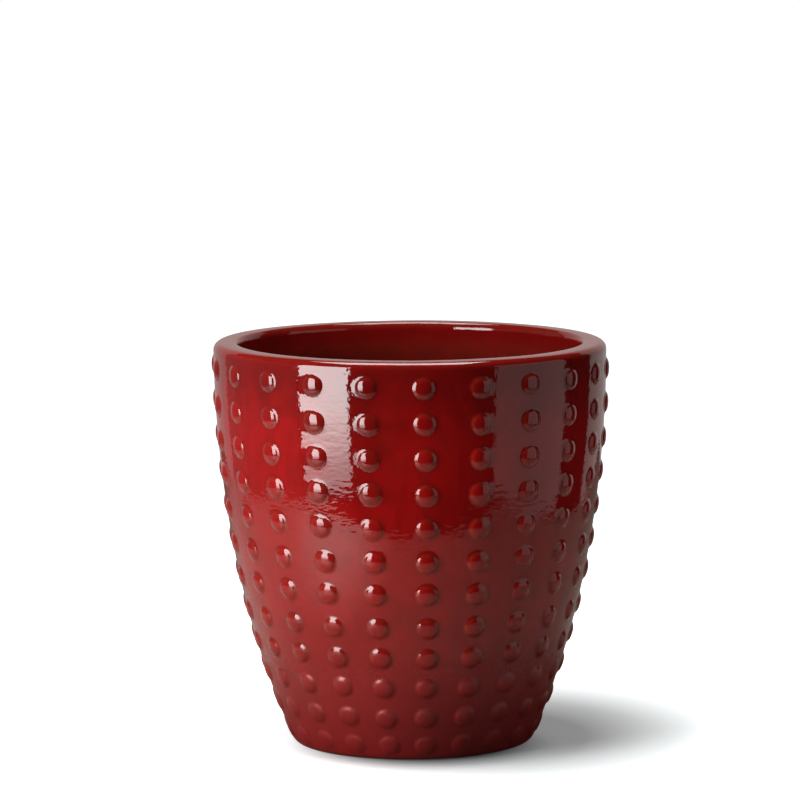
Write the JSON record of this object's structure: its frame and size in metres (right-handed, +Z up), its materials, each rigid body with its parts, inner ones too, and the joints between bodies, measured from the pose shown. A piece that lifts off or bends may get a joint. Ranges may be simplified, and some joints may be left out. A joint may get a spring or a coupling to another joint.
{
  "type": "flower pot",
  "caption": "Tapered round glazed stoneware planter with a thick rolled lip, rows of raised round studs, a foot ring and a lift-out drain stopper.",
  "frame": {"origin": "centre of the foot ring's underside, on the surface the pot stands on", "axes": "+Z up along the pot's axis, -Y towards the picture's camera, +X to the right in the picture"},
  "size_m": [0.3416, 0.3416, 0.3468],
  "materials": {
    "red_glaze": "glossy",
    "bare_stoneware": "matt",
    "plug_rubber": "satin"
  },
  "bodies": {
    "pot": {"wall": "red_glaze", "rim": "red_glaze", "foot_ring": "bare_stoneware", "floor_slab": "bare_stoneware", "stud_row_01": "red_glaze", "stud_row_02": "red_glaze", "stud_row_03": "red_glaze", "stud_row_04": "red_glaze", "stud_row_05": "red_glaze", "stud_row_06": "red_glaze", "stud_row_07": "red_glaze", "stud_row_08": "red_glaze", "stud_row_09": "red_glaze", "stud_row_10": "red_glaze", "stud_row_11": "red_glaze", "stud_row_12": "red_glaze"},
    "drain_plug": {"drain_plug": "plug_rubber"}
  },
  "joints": [
    {"name": "plug_lift", "type": "slide", "parent": "pot", "child": "drain_plug", "axis": [0, 0, 1], "range_m": [0, 0.35]}
  ]
}
